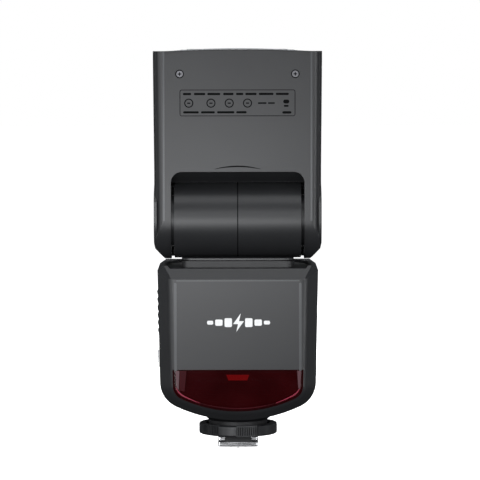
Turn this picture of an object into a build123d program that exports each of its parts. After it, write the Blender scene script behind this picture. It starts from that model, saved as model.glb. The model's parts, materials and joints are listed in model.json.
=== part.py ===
from build123d import *
import os
from math import cos, radians, sin, sqrt, tan

# Millimetres. X is to the right seen from the front, -Y is the front (the side with the red
# window) and +Z is up. The origin is the centre of the shoe foot's underside. The head is
# modelled pointing straight up, with its underside facing the front.

# Fits
FIT = 0.06  # radial clearance of a running fit
SEAM = 0.1  # gap round a fitted panel

# Body case
FRONT = -27.0
BACK = 29.0
BODY_SPLIT = 4.0  # the plane where the front and rear shells meet
BODY_TOP = 85.3
BODY_HALF_TOP = 36.9  # half width just below the shoulders
BODY_HALF_LOW = 35.9  # half width where the lower corners start
SHOULDER_X = 3.0
SHOULDER_Z = 2.1
CORNER_R = 12.5
BELLY_R = 67.0  # the shallow arc along the bottom
BELLY_Z = 80.9  # height of that arc's centre
BELLY_DROP = 1.4  # how much lower the belly lies on the front and back panels, to narrow the band
LOW_CORNER_Z = 31.7  # where the lower corners start
BAND = 6.0  # width of the slanted band round the front panel
FRONT_BAND_DEPTH = 5.0
BACK_BAND_DEPTH = 4.0
WALL = 2.6
PANEL_EDGE_R = 6.0  # rounding down both sides of the front panel

# Turntable pocket in the body's top
POCKET_R = 33.0
POCKET_Z = 84.0
POCKET_CORNER_R = 4.5  # the pocket is squarer towards the front
SHAFT_R = 14.0
SHAFT_BORE_R = 10.5
CABLE_R = 5.0  # the way for the cables up into the drum
SEAT_LOW = 79.5

# Red window and its lamp
WINDOW_TOP = 37.7
WINDOW_DEPTH = 1.8
WINDOW_LEDGE = 1.6

# Battery bay: four AA cells lying along X
CELL_R = 7.2
CELL_LENGTH = 50.0
CELL_START = -32.7
CELL_NUB = 1.0
CELL_PLACES = [(y, z) for y in (-6.5, 9.0) for z in (45.0, 60.5)]
TRAY_X = (-33.2, 19.2)
TRAY_Y = (-14.6, 17.2)
TRAY_Z = (36.6, 68.9)

# Battery door, on the side at -X
DOOR_THICK = 1.6
DOOR_Y = (-16.2, 19.0)
DOOR_Z = (30.0, 80.0)
DOOR_TRAVEL = 3.5
DOOR_PIN_X = -35.2
DOOR_PIN_Y = -16.2
DOOR_PIN_R = 0.5
BARREL_R = 1.2
LUG_LOW = (31.0, 34.5)
LUG_HIGH = (75.5, 80.3)
RIDGE_COUNT = 6  # grip ridges
RIDGE_PITCH = 3.55
RIDGE_LOW = 51.9
RIDGE_PROUD = 0.7
RIDGE_Y = (-12.0, 14.0)

# Port cover, on the side at +X
PORT_Y = (-6.0, 11.9)
PORT_Z = (31.5, 46.0)
PORT_HINGE = (35.95, -6.0)
PORT_HINGE_Z = (33.0, 44.5)
PORT_HINGE_R = 0.5
SOCKET_END = 34.0  # where both sockets end, just behind the cover

# Rear controls
KEY_XS = (-15.0, -5.0, 5.0, 15.0)
KEY_Z = 49.5
KEY_SIZE = (7.4, 3.8)
BUTTON_R = 3.2
BUTTON_PLACES = {"mode": (19.0, 38.0), "wireless": (18.6, 27.6), "test": (-19.0, 38.0)}
SWITCH_PLACE = (-21.5, 26.5)
SWITCH_TRAVEL = 4.0
SWITCH_SIZE = (4.0, 3.0)
BUTTON_GAP = 0.15
BUTTON_BACK = 30.0  # how far back the caps stand
FLANGE_Y = (25.3, 26.3)  # the rim inside the case that keeps each cap in
DIAL_Z = 31.5
DIAL_R = 11.5
SLEEVE_R = 5.6  # the fixed sleeve that the dial turns on
SET_R = 4.5
LCD_X = 21.0
LCD_Z = (54.5, 78.5)

# Screws that join the two body shells
CASE_SCREW_PLACES = [(-27.0, 81.0), (27.0, 81.0), (-26.5, 30.0), (26.5, 30.0)]
CASE_SCREW_HEAD = (27.6, 28.8)
CASE_SCREW_END = -6.0
CASE_BOSS_R = 2.4

# Shoe foot
PLATE_SIZE = (18.6, 18.0, 2.0)
STEM_HALF = 6.15  # the stem between the shoe rails is 12.3 wide
STEM_Y = (-8.8, 5.6)
STEM_TOP = 5.45
SLEEVE_FOOT_R = 8.9  # round part of the stem that carries the lock wheel
SLEEVE_FOOT_TOP = 20.2
COLLAR_R = 13.7
COLLAR_TOP_R = 18.8  # the collar widens upwards into the body
COLLAR_Z = (8.3, 12.0, 16.4)
BLOCK_SIDE = 9.6
PIN_PLACES = [(0, 0), (-3.3, 3.2), (3.3, 3.2), (-3.3, -3.2), (3.3, -3.2)]
CONTACT_R = 0.8
LOCK_PIN_R = 0.9
LOCK_PIN_Y = 7.3
LOCK_PIN_TIP = -0.9
CLAMP_Z = (3.1, 4.4)
WHEEL_R = 18.2
WHEEL_GRIP_R = 17.25  # the ribbed stretches lie a little lower than the smooth ones
WHEEL_RIBS = 10  # ribs in each of those stretches
RIB_SIZE = (0.7, 0.6)
WHEEL_Z = (5.5, 10.55)
WHEEL_RECESS_R = 15.2
WHEEL_EDGE_R = 0.8
WHEEL_GRIPS = [-136.0, -76.0, 44.0, 104.0]  # the middles of the ribbed stretches, degrees from +X
GRIP_SPAN = 34.0

# Neck
AXIS_Z = 105.2  # height of the tilt axis, which lies along X
DRUM_R = 17.6
DRUM_HALF = 29.3
DRUM_WALL = 2.2
SPLIT_GROOVE = (0.22, 0.7)  # half width and depth of the groove where the halves meet
AXLE_R = 6.0
BASE_HALF = (25.8, 19.0)
BASE_CORNER_R = 3.0
BASE_Z = (84.2, 87.2)
FLANGE_HALF = (25.8, 18.6)
FLANGE_Z = (87.6, 88.4)
NECK_FOOT_HALF = (21.5, 14.5)  # the neck's foot, set back between the flange and the base

# Head
HEAD_HALF = 38.55  # up to the neck's gap, and the head widens slightly above it
HEAD_HALF_TOP = 39.0
HEAD_FRONT = -15.0  # the underside of the head
HEAD_BACK = 36.0
HEAD_SPLIT = 18.5
HEAD_TOP = 180.0  # the shells end here and the bezel starts
HEAD_WALL = 2.2
HEAD_FLOOR = 131.5
ARM_INNER = 30.8
ARM_CURVE_R = 18.2  # the arms' lower ends curve back below the tilt axis
PAD_X = 29.45  # the pads inside the arms reach in to here, just clear of the drum
PAD_R = 13.2
PAD_BACK_R = 16.8  # the pads are wider behind, which closes the gap beside the drum
PAD_BACK_Y = -6.0
CAVITY_R = 18.1
LIP_Z = 128.1
CAP_R = 17.0
CAP_X = (37.4, 38.75)
BEZEL_CROWN = 184.0
BEZEL_SIDE = 183.6
CROWN_R = 419.5
LENS_HALF = 31.4
LENS_Y = (-9.9, 25.5)
LENS_CROWN = 184.9
LENS_DOME_R = 411.4
LENS_THICK = 2.0
SCREW_X = 26.6
SCREW_Z = 173.1

# Card slot and zoom drive inside the head
CARD_Y = (31.9, 32.7)
PANEL_Y = (29.6, 30.8)
REFLECTOR_R = 14.0
REFLECTOR_Y = 6.0
REFLECTOR_Z = 151.0
REFLECTOR_HALF = 25.0
ROD_R = 1.0
ROD_X = 31.0
ROD_Y = -4.0
LEAD_X = 31.0
LEAD_Y = 18.0
LEAD_R = 1.5


# --- Helpers -------------------------------------------------------------------------------


def block(x, y, z):
    """A box between a low and a high limit on each axis."""
    centre = Pos((x[0] + x[1]) / 2, (y[0] + y[1]) / 2, (z[0] + z[1]) / 2)
    return centre * Box(x[1] - x[0], y[1] - y[0], z[1] - z[0])


def rod_x(radius, x, y, z):
    """A cylinder along X between two limits, through a point (y, z)."""
    return Pos((x[0] + x[1]) / 2, y, z) * Rot(0, 90, 0) * Cylinder(radius, x[1] - x[0])


def rod_y(radius, x, y, z):
    """A cylinder along Y between two limits, through a point (x, z)."""
    return Pos(x, (y[0] + y[1]) / 2, z) * Rot(90, 0, 0) * Cylinder(radius, y[1] - y[0])


def rod_z(radius, x, y, z):
    """A cylinder along Z between two limits, through a point (x, y)."""
    return Pos(x, y, (z[0] + z[1]) / 2) * Cylinder(radius, z[1] - z[0])


def rounded_block(half, radius, z):
    """An upright block on the Z axis with its four vertical edges rounded."""
    face = RectangleRounded(2 * half[0], 2 * half[1], radius)
    return Pos(0, 0, z[0]) * extrude(face, z[1] - z[0])


def front_shape(points, y):
    """A straight-sided shape drawn in X and Z and extruded between two limits on Y."""
    corners = [(px, y[0], pz) for px, pz in points]
    face = Face(Wire.make_polygon(corners, close=True))
    return Solid.extrude(face, Vector(0, y[1] - y[0], 0))


def side_shape(points, half):
    """A straight-sided shape drawn in Y and Z and extruded to both sides of X = 0."""
    corners = [(-half, py, pz) for py, pz in points]
    face = Face(Wire.make_polygon(corners, close=True))
    return Solid.extrude(face, Vector(2 * half, 0, 0))


def group(pieces):
    """Separate solids kept together in one node."""
    return Compound([solid for piece in pieces for solid in piece.solids()])


# --- Body case -----------------------------------------------------------------------------


def body_outline(inset, y, drop=0.0):
    """The body's front outline, drawn in by a margin, in the plane at this Y."""
    belly_z = BELLY_Z - drop
    half_top = BODY_HALF_TOP - inset
    half_low = BODY_HALF_LOW - inset
    top = BODY_TOP - inset
    shoulder_x = max(0.5, SHOULDER_X - 0.685 * inset)
    shoulder_z = max(0.4, SHOULDER_Z - 0.48 * inset)
    corner_x = BODY_HALF_LOW - CORNER_R
    centre_gap = BELLY_R - CORNER_R
    corner_z = belly_z - sqrt(centre_gap**2 - corner_x**2)
    along_x = corner_x / centre_gap
    along_z = (corner_z - belly_z) / centre_gap
    meet = ((BELLY_R - inset) * along_x, belly_z + (BELLY_R - inset) * along_z)
    middle_x = 1 + along_x
    middle_length = sqrt(middle_x**2 + along_z**2)
    reach = (CORNER_R - inset) / middle_length
    middle = (corner_x + reach * middle_x, corner_z + reach * along_z)

    def at(px, pz):
        return (px, y, pz)

    return Wire(
        [
            Line(at(half_top - shoulder_x, top), at(half_top, top - shoulder_z)),
            Line(at(half_top, top - shoulder_z), at(half_low, corner_z)),
            ThreePointArc(at(half_low, corner_z), at(*middle), at(*meet)),
            ThreePointArc(at(*meet), at(0, belly_z - BELLY_R + inset), at(-meet[0], meet[1])),
            ThreePointArc(at(-meet[0], meet[1]), at(-middle[0], middle[1]), at(-half_low, corner_z)),
            Line(at(-half_low, corner_z), at(-half_top, top - shoulder_z)),
            Line(at(-half_top, top - shoulder_z), at(-half_top + shoulder_x, top)),
            Line(at(-half_top + shoulder_x, top), at(half_top - shoulder_x, top)),
        ]
    )


def body_form(inset):
    """The body's outer form, or the same form drawn in by a wall thickness."""
    sections = [
        body_outline(BAND + 0.4 * inset, FRONT + inset, BELLY_DROP),
        body_outline(inset, FRONT + FRONT_BAND_DEPTH + 0.5 * inset),
        body_outline(inset, BACK - BACK_BAND_DEPTH - 0.5 * inset),
        body_outline(BAND + 0.4 * inset, BACK - inset, BELLY_DROP),
    ]
    form = Solid.make_loft(sections, ruled=True)
    front_edges = form.edges().group_by(Axis.Y)[0]
    sides = [edge for edge in front_edges if abs(edge.center().X) > 20 and edge.length > 20]
    return form.fillet(PANEL_EDGE_R, sides)


def panel_prism(inset, y):
    """A prism with the front panel's outline, drawn in by a margin."""
    face = Face(body_outline(BAND + inset, y[0], BELLY_DROP))
    return Solid.extrude(face, Vector(0, y[1] - y[0], 0))


def pocket():
    """The recess in the body's top that the neck turns in, squarer towards the front."""
    front_part = rounded_block((POCKET_R, -FRONT), POCKET_CORNER_R, (POCKET_Z, 95))
    front_part = Pos(0, FRONT_BAND_DEPTH - 2, 0) * front_part
    front_part = front_part & block((-40, 40), (-40, 0), (80, 100))
    return rod_z(POCKET_R, 0, 0, (POCKET_Z, 95)) + front_part


def window_openings():
    """The seat of the red window and the opening behind it."""
    seat = panel_prism(0, (FRONT - 1, FRONT + WINDOW_DEPTH))
    seat = seat & block((-40, 40), (-40, 0), (0, WINDOW_TOP + SEAM))
    opening = panel_prism(WINDOW_LEDGE, (FRONT, FRONT + 4))
    opening = opening & block((-40, 40), (-40, 0), (0, WINDOW_TOP - WINDOW_LEDGE))
    return [seat, opening]


def door_openings():
    """The channel that the battery door slides in and the mouth of the battery bay."""
    channel = block((-45, -20), (DOOR_PIN_Y - 1.9, DOOR_Y[1] + 0.2), (20, LUG_HIGH[1]))
    channel = channel - body_form(DOOR_THICK + SEAM)
    barrel_z = (LUG_LOW[1], LUG_HIGH[0])
    barrel_room = rod_z(BARREL_R + 0.2, DOOR_PIN_X, DOOR_PIN_Y, barrel_z)
    mouth = block((-40, -32), (TRAY_Y[0] + 0.6, TRAY_Y[1] - 0.6), (TRAY_Z[0] + 0.6, TRAY_Z[1] - 0.6))
    return [channel, barrel_room, mouth]


def door_lugs():
    """The two lugs that hold the ends of the battery door's hinge pin."""
    lugs = []
    for z in (LUG_LOW, LUG_HIGH):
        lug = block((-40, -33.8), (DOOR_PIN_Y - 1.9, DOOR_PIN_Y + 1.4), z)
        lugs.append(lug & body_form(0.05))
    return lugs


def port_openings():
    """The shallow seat of the port cover and the holes for the two sockets behind it."""
    seat = block((20, 45), (PORT_Y[0] - 0.45, PORT_Y[1] + 0.3), (PORT_Z[0] - 0.2, PORT_Z[1] + 0.2))
    seat = seat - body_form(DOOR_THICK + SEAM)
    bead_z = (PORT_HINGE_Z[0] - 0.1, PORT_HINGE_Z[1] + 0.1)
    bead_room = rod_z(PORT_HINGE_R + 2 * SEAM, PORT_HINGE[0], PORT_HINGE[1], bead_z)
    usb_hole = block((30, 40), (-2.1, 7.1), (35.9, 39.3))
    jack_hole = rod_x(3.05, (30, 40), 8.4, 42.0)
    return [seat, bead_room, usb_hole, jack_hole]


def control_openings():
    """Holes in the back for the keys, buttons, switch, dial and display."""
    wall = (BACK - WALL - 1, BACK + 1)
    holes = []
    for x in KEY_XS:
        half_x = KEY_SIZE[0] / 2 + BUTTON_GAP
        half_z = KEY_SIZE[1] / 2 + BUTTON_GAP
        holes.append(block((x - half_x, x + half_x), wall, (KEY_Z - half_z, KEY_Z + half_z)))
    for x, z in BUTTON_PLACES.values():
        holes.append(rod_y(BUTTON_R + BUTTON_GAP, x, wall, z))
    slot_x = (SWITCH_PLACE[0] - BUTTON_GAP, SWITCH_PLACE[0] + SWITCH_SIZE[0] + SWITCH_TRAVEL + BUTTON_GAP)
    slot_half = SWITCH_SIZE[1] / 2 + BUTTON_GAP
    holes.append(block(slot_x, wall, (SWITCH_PLACE[1] - slot_half, SWITCH_PLACE[1] + slot_half)))
    holes.append(rod_y(DIAL_R + 0.3, 0, (BACK - 1.4, BACK + 1), DIAL_Z))
    holes.append(rod_y(SET_R + BUTTON_GAP, 0, wall, DIAL_Z))
    holes.append(block((-LCD_X - SEAM, LCD_X + SEAM), (BACK - 1.6, BACK + 1), (LCD_Z[0] - SEAM, LCD_Z[1] + SEAM)))
    holes.append(block((-LCD_X + 2, LCD_X - 2), wall, (LCD_Z[0] + 2, LCD_Z[1] - 2)))
    return holes


def dial_sleeve():
    """The fixed sleeve in the back that the select dial turns on."""
    sleeve = rod_y(SLEEVE_R, 0, (BACK - WALL, BACK + 1.9), DIAL_Z)
    return sleeve - rod_y(SET_R + BUTTON_GAP, 0, (BACK - WALL - 1, BACK + 3), DIAL_Z)


def screw_room():
    """Countersinks and holes for the four screws that join the two shells."""
    room = []
    for x, z in CASE_SCREW_PLACES:
        room.append(rod_y(2.2, x, (CASE_SCREW_HEAD[0], 35), z))
        room.append(rod_y(1.05, x, (CASE_SCREW_END - 1, 35), z))
    return room


def screw_bosses():
    """The posts in both shells that the four case screws run through."""
    inside = body_form(0.5)
    return [rod_y(CASE_BOSS_R, x, (FRONT, BACK), z) & inside for x, z in CASE_SCREW_PLACES]


def body_case():
    """The whole body case before it is split, with every opening cut."""
    case = body_form(0) - body_form(WALL)
    for boss in screw_bosses():
        case = case + boss
    cuts = [
        pocket(),
        rod_z(SHAFT_R + 0.3, 0, 0, (80, 95)),
        rod_z(SLEEVE_FOOT_R, 0, 0, (5, SLEEVE_FOOT_TOP + 2)),
        *window_openings(),
        *door_openings(),
        *port_openings(),
        *control_openings(),
        *screw_room(),
    ]
    for cut in cuts:
        case = case - cut
    for piece in (*door_lugs(), dial_sleeve()):
        case = case + piece
    for z in (LUG_LOW, LUG_HIGH):
        case = case - rod_z(DOOR_PIN_R + FIT, DOOR_PIN_X, DOOR_PIN_Y, (z[0] - 1, z[1]))
    return case


def largest(shape):
    """The largest solid of a shape, which drops any thin scrap left by a cut."""
    return max(shape.solids(), key=lambda solid: solid.volume)


def body_front_shell():
    return largest(body_case() & block((-50, 50), (-50, BODY_SPLIT), (0, 100)))


def body_rear_shell():
    return largest(body_case() & block((-50, 50), (BODY_SPLIT, 50), (0, 100)))


def turntable_seat():
    """The ring under the body's top that the swivel shaft turns in."""
    top = BODY_TOP - WALL
    ring = rod_z(22, 0, 0, (SEAT_LOW, top)) - rod_z(SHAFT_R + FIT, 0, 0, (SEAT_LOW - 1, top + 1))
    return ring & body_form(WALL)


def af_window():
    window = panel_prism(SEAM, (FRONT, FRONT + WINDOW_DEPTH)) & body_form(0)
    return window & block((-40, 40), (-40, 0), (0, WINDOW_TOP))


def af_lamp():
    """The small wedge-shaped lamp behind the top of the red window."""
    lens = front_shape([(-5.6, 36.0), (5.6, 36.0), (4.0, 32.6), (-4.0, 32.6)], (-25.0, -22.5))
    holder = block((-6.5, 6.5), (-22.5, -17.0), (31.0, 36.4))
    return lens + holder


def lcd_window():
    return block((-LCD_X, LCD_X), (BACK - 1.6, BACK), LCD_Z)


def lcd_module():
    return block((-LCD_X + 0.5, LCD_X - 0.5), (21.0, BACK - WALL), (LCD_Z[0] + 0.5, LCD_Z[1] - 0.5))


def battery_tray():
    """The moulded holder with a bore for each cell, open towards the door."""
    tray = block(TRAY_X, TRAY_Y, TRAY_Z)
    for y, z in CELL_PLACES:
        tray = tray - rod_x(CELL_R + 0.2, (CELL_START - 2, CELL_START + CELL_LENGTH + 0.4), y, z)
    return tray


def aa_cell(y, z, nub_inward):
    """One AA cell. Its raised contact faces into the body or out to the door."""
    start = CELL_START
    end = CELL_START + CELL_LENGTH
    if nub_inward:
        return rod_x(CELL_R, (start, end - CELL_NUB), y, z) + rod_x(2.7, (end - CELL_NUB, end), y, z)
    return rod_x(CELL_R, (start + CELL_NUB, end), y, z) + rod_x(2.7, (start, start + CELL_NUB), y, z)


def aa_cells():
    cells = []
    for index, (y, z) in enumerate(CELL_PLACES):
        cells.append(aa_cell(y, z, index in (0, 3)))
    return group(cells)


def battery_contacts():
    end = CELL_START + CELL_LENGTH
    return group([rod_x(4.2, (end, end + 0.4), y, z) for y, z in CELL_PLACES])


def main_board():
    return block((-31, 31), (18.4, 20.0), (33.5, 76))


def main_capacitor():
    can = rod_x(7.0, (-20.5, 20.5), 8.5, 29.2)
    return can + rod_x(5.2, (20.5, 21.7), 8.5, 29.2)


def inverter_transformer():
    core = block((22, 31), (-8, 5), (50, 64))
    return core + rod_z(4.0, 26.5, -1.5, (47, 67))


def case_screw(x, z):
    head = rod_y(2.0, x, CASE_SCREW_HEAD, z)
    head = head - block((x - 1.3, x + 1.3), (28.2, 30), (z - 0.25, z + 0.25))
    head = head - block((x - 0.25, x + 0.25), (28.2, 30), (z - 1.3, z + 1.3))
    return head + rod_y(1.0, x, (CASE_SCREW_END, CASE_SCREW_HEAD[0]), z)


def body_screws():
    return group([case_screw(x, z) for x, z in CASE_SCREW_PLACES])


# --- Battery door and port cover -----------------------------------------------------------


def door_ridge(index):
    """One saw-tooth grip ridge, thick at its top and running out downwards."""
    low = RIDGE_LOW + index * RIDGE_PITCH
    high = low + RIDGE_PITCH - 0.5
    slope = (BODY_HALF_TOP - BODY_HALF_LOW) / (BODY_TOP - SHOULDER_Z - LOW_CORNER_Z)
    skin = -(BODY_HALF_LOW + (low - LOW_CORNER_Z) * slope)
    points = [(skin + 0.35, low), (skin - 0.1, low), (skin - 0.1 - RIDGE_PROUD, high), (skin + 0.35, high)]
    return front_shape(points, RIDGE_Y)


def battery_door():
    plate = body_form(0) - body_form(DOOR_THICK)
    plate = plate & block((-50, -20), DOOR_Y, DOOR_Z)
    for lug in (LUG_LOW, LUG_HIGH):
        room_z = (lug[0] - 2, lug[1] + DOOR_TRAVEL + 0.1) if lug is LUG_LOW else (lug[0] - 0.3, lug[1] + 1)
        plate = plate - block((-50, -20), (DOOR_Y[0] - 2, DOOR_PIN_Y + 2.3), room_z)
    barrel = rod_z(BARREL_R, DOOR_PIN_X, DOOR_PIN_Y, (LUG_LOW[1] + DOOR_TRAVEL + 0.1, LUG_HIGH[0] - 0.3))
    door = plate + barrel
    for index in range(RIDGE_COUNT):
        door = door + door_ridge(index)
    return door - rod_z(DOOR_PIN_R + FIT, DOOR_PIN_X, DOOR_PIN_Y, (20, 90))


def battery_door_hinge_pin():
    """The pin slides down in the lugs together with the door, and the door swings on it."""
    return rod_z(DOOR_PIN_R, DOOR_PIN_X, DOOR_PIN_Y, (LUG_LOW[0] + 1, LUG_HIGH[1] - 0.6))


def port_cover():
    """The rubber cover, with the round bead along its front edge that it swings on."""
    plate = body_form(0) - body_form(DOOR_THICK)
    plate = plate & block((20, 50), PORT_Y, PORT_Z)
    return plate + rod_z(PORT_HINGE_R, PORT_HINGE[0], PORT_HINGE[1], PORT_HINGE_Z)


def usb_socket():
    """An oval metal sleeve with the contact tongue inside."""
    outer = block((27.0, SOCKET_END), (-2.0, 7.0), (36.0, 39.2))
    inner = block((28.0, 36.0), (-1.6, 6.6), (36.4, 38.8))
    tongue = block((28.0, 33.6), (-0.8, 5.8), (37.25, 37.95))
    return (outer - inner) + tongue


def sync_jack():
    return rod_x(3.0, (24.0, SOCKET_END), 8.4, 42.0) - rod_x(1.3, (25.5, 36.0), 8.4, 42.0)


# --- Rear controls -------------------------------------------------------------------------


def round_button(x, z):
    cap = rod_y(BUTTON_R, x, (FLANGE_Y[0], BUTTON_BACK), z)
    return cap + rod_y(BUTTON_R + 0.9, x, FLANGE_Y, z)


def soft_key(x):
    half_x = KEY_SIZE[0] / 2
    half_z = KEY_SIZE[1] / 2
    cap = block((x - half_x, x + half_x), (FLANGE_Y[0], BUTTON_BACK), (KEY_Z - half_z, KEY_Z + half_z))
    cap = fillet(cap.edges().group_by(Axis.Y)[-1], 0.5)
    rim_x = half_x + 0.8
    rim_z = half_z + 0.8
    return cap + block((x - rim_x, x + rim_x), FLANGE_Y, (KEY_Z - rim_z, KEY_Z + rim_z))


def power_switch():
    x, z = SWITCH_PLACE
    half_z = SWITCH_SIZE[1] / 2
    knob = block((x, x + SWITCH_SIZE[0]), (FLANGE_Y[0], BUTTON_BACK + 0.4), (z - half_z, z + half_z))
    for rib in (1.0, 2.0, 3.0):
        knob = knob - block((x + rib - 0.2, x + rib + 0.2), (BUTTON_BACK, 32), (z - 3, z + 3))
    return knob + block((x - 0.5, x + SWITCH_SIZE[0] + 0.5), FLANGE_Y, (z - half_z - 1, z + half_z + 1))


def select_dial():
    ring = rod_y(DIAL_R, 0, (BACK - 1.2, BACK + 2.4), DIAL_Z)
    ring = chamfer(ring.edges().group_by(Axis.Y)[-1], 0.7)
    return ring - rod_y(SLEEVE_R + FIT, 0, (BACK - 3, BACK + 5), DIAL_Z)


def set_button():
    cap = rod_y(SET_R, 0, (FLANGE_Y[0], BACK + 2.2), DIAL_Z)
    cap = fillet(cap.edges().group_by(Axis.Y)[-1], 0.5)
    return cap + rod_y(SET_R + 0.9, 0, FLANGE_Y, DIAL_Z)


# --- Shoe foot -----------------------------------------------------------------------------


def foot_plate():
    half_x = PLATE_SIZE[0] / 2
    half_y = PLATE_SIZE[1] / 2
    plate = rounded_block((half_x, half_y), 0.8, (0, PLATE_SIZE[2]))
    plate = chamfer(plate.edges().group_by(Axis.Z)[0], 0.4)
    half = BLOCK_SIDE / 2
    plate = plate - block((-half, half), (-half, half), (-1, 3))
    return plate - rod_z(LOCK_PIN_R + FIT, 0, LOCK_PIN_Y, (-1, 3))


def foot_stem():
    """One moulding: the stem between the shoe rails, the wheel's sleeve and the collar."""
    stem = block((-STEM_HALF, STEM_HALF), STEM_Y, (PLATE_SIZE[2], STEM_TOP))
    stem = stem + rod_z(SLEEVE_FOOT_R, 0, 0, (STEM_TOP, SLEEVE_FOOT_TOP))
    low, waist, top = COLLAR_Z
    flare = Pos(0, 0, (waist + top) / 2) * Cone(COLLAR_R, COLLAR_TOP_R, top - waist)
    collar = rod_z(COLLAR_R, 0, 0, (low, waist)) + flare
    stem = stem + (collar - body_form(0))
    half = BLOCK_SIDE / 2
    stem = stem - block((-half, half), (-half, half), (1, 13))
    return stem - rod_z(3.5, 0, 0, (12, SLEEVE_FOOT_TOP + 1))


def foot_contact_block():
    half = BLOCK_SIDE / 2
    plug = block((-half, half), (-half, half), (0.25, 13))
    for x, y in PIN_PLACES:
        plug = plug - rod_z(CONTACT_R + FIT, x, y, (-1, 5))
    return plug


def contact_pins():
    pins = []
    for x, y in PIN_PLACES:
        pin = rod_z(CONTACT_R, x, y, (-0.75, 3.6))
        pins.append(fillet(pin.edges().group_by(Axis.Z)[0], 0.45))
    return group(pins)


def lock_pin():
    pin = rod_z(LOCK_PIN_R, 0, LOCK_PIN_Y, (LOCK_PIN_TIP, CLAMP_Z[1]))
    return chamfer(pin.edges().group_by(Axis.Z)[0], 0.3)


def clamp_plate():
    """The plate that presses on the shoe's rails, forked round the stem from behind."""
    plate = rounded_block((9.2, 9.0), 0.8, CLAMP_Z)
    slot_x = STEM_HALF + 0.15
    plate = plate - block((-slot_x, slot_x), (-12, STEM_Y[1] + 0.15), (2, 7))
    return plate - rod_z(LOCK_PIN_R, 0, LOCK_PIN_Y, (2, 7))


def wheel_grip(direction):
    """What is cut off the wheel's rim to set back one of its ribbed stretches."""
    reach = 30.0
    half_width = reach * tan(radians(GRIP_SPAN / 2))
    triangle = make_face(Polyline((0, 0), (reach, -half_width), (reach, half_width), close=True))
    sector = Pos(0, 0, WHEEL_Z[0] - 1) * extrude(triangle, WHEEL_Z[1] - WHEEL_Z[0] + 2)
    return (Rot(0, 0, direction) * sector) - rod_z(WHEEL_GRIP_R, 0, 0, (0, 20))


def wheel_rib(direction):
    """One upright rib in a ribbed stretch of the lock wheel's rim."""
    height = WHEEL_Z[1] - WHEEL_Z[0] - 0.8
    middle = (WHEEL_Z[0] + WHEEL_Z[1]) / 2
    return Rot(0, 0, direction) * Pos(WHEEL_GRIP_R, 0, middle) * Box(*RIB_SIZE, height)


def lock_wheel():
    """The ring that clamps the foot, with smooth and ribbed stretches round its rim."""
    wheel = rod_z(WHEEL_R, 0, 0, WHEEL_Z)
    wheel = fillet(wheel.edges().filter_by(GeomType.CIRCLE), WHEEL_EDGE_R)
    step = GRIP_SPAN / WHEEL_RIBS
    for direction in WHEEL_GRIPS:
        wheel = wheel - wheel_grip(direction)
        for rib in range(WHEEL_RIBS):
            wheel = wheel + wheel_rib(direction - GRIP_SPAN / 2 + step * (rib + 0.5))
    wheel = wheel - rod_z(WHEEL_RECESS_R, 0, 0, (7.5, 12))
    return wheel - rod_z(SLEEVE_FOOT_R + FIT, 0, 0, (4, 12))


# --- Neck ----------------------------------------------------------------------------------


def swivel_base():
    base = rounded_block(BASE_HALF, BASE_CORNER_R, BASE_Z)
    return base - rod_z(SHAFT_R, 0, 0, (80, 90))


def swivel_shaft():
    """The hollow shaft that the cables run through, with a groove for its retaining ring."""
    shaft = rod_z(SHAFT_R, 0, 0, (76.4, BASE_Z[1]))
    groove = rod_z(SHAFT_R + 1, 0, 0, (77.7, 79.3)) - rod_z(13.0, 0, 0, (77, 80))
    shaft = shaft - groove
    return shaft - rod_z(SHAFT_BORE_R, 0, 0, (70, 90))


def swivel_retaining_ring():
    ring = rod_z(17.5, 0, 0, (77.8, 79.2)) - rod_z(13.0, 0, 0, (77, 80))
    return ring - block((-4, 4), (0, 20), (77, 80))


def neck_housing():
    """The drum and its foot before the two halves are split apart."""
    drum = rod_x(DRUM_R, (-DRUM_HALF, DRUM_HALF), 0, AXIS_Z)
    flange = rounded_block(FLANGE_HALF, 4.5, FLANGE_Z)
    foot = rounded_block(NECK_FOOT_HALF, 4.5, (BASE_Z[1], FLANGE_Z[0]))
    housing = drum + flange + foot
    inner_half = DRUM_HALF - DRUM_WALL
    housing = housing - rod_x(DRUM_R - DRUM_WALL, (-inner_half, inner_half), 0, AXIS_Z)
    groove_half, groove_depth = SPLIT_GROOVE
    groove_x = (-groove_half, groove_half)
    groove = rod_x(DRUM_R + 1, groove_x, 0, AXIS_Z) - rod_x(DRUM_R - groove_depth, groove_x, 0, AXIS_Z)
    housing = housing - (groove & block((-1, 1), (-30, 30), (FLANGE_Z[1], 130)))
    housing = housing - rod_z(CABLE_R, 0, 0, (80, 95))
    return housing - rod_x(AXLE_R + FIT, (-40, 40), 0, AXIS_Z)


def neck_left_shell():
    return largest(neck_housing() & block((-50, 0), (-30, 30), (80, 130)))


def neck_right_shell():
    return largest(neck_housing() & block((0, 50), (-30, 30), (80, 130)))


def tilt_axle():
    axle = rod_x(AXLE_R, (-36.8, 36.8), 0, AXIS_Z)
    return axle - rod_x(3.6, (-40, 40), 0, AXIS_Z)


def tilt_detent_disc():
    """The notched disc on the tilt axle that gives the head its click stops."""
    disc = rod_x(12.0, (22.0, 23.4), 0, AXIS_Z) - rod_x(AXLE_R, (20, 26), 0, AXIS_Z)
    for step in range(24):
        angle = radians(15.0 * step)
        disc = disc - rod_x(0.7, (20, 26), 12.0 * sin(angle), AXIS_Z + 12.0 * cos(angle))
    return disc


def tilt_detent_spring():
    """A leaf spring above the disc, held by two feet against the drum's wall."""
    spring = block((20.5, 25.0), (-7.0, 7.0), (AXIS_Z + 12.4, AXIS_Z + 12.8))
    for y in (-7.0, 6.0):
        spring = spring + block((20.5, 25.0), (y, y + 1), (AXIS_Z + 12.6, AXIS_Z + 16))
    return spring & rod_x(DRUM_R - DRUM_WALL, (20, 26), 0, AXIS_Z)


# --- Head ----------------------------------------------------------------------------------


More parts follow.
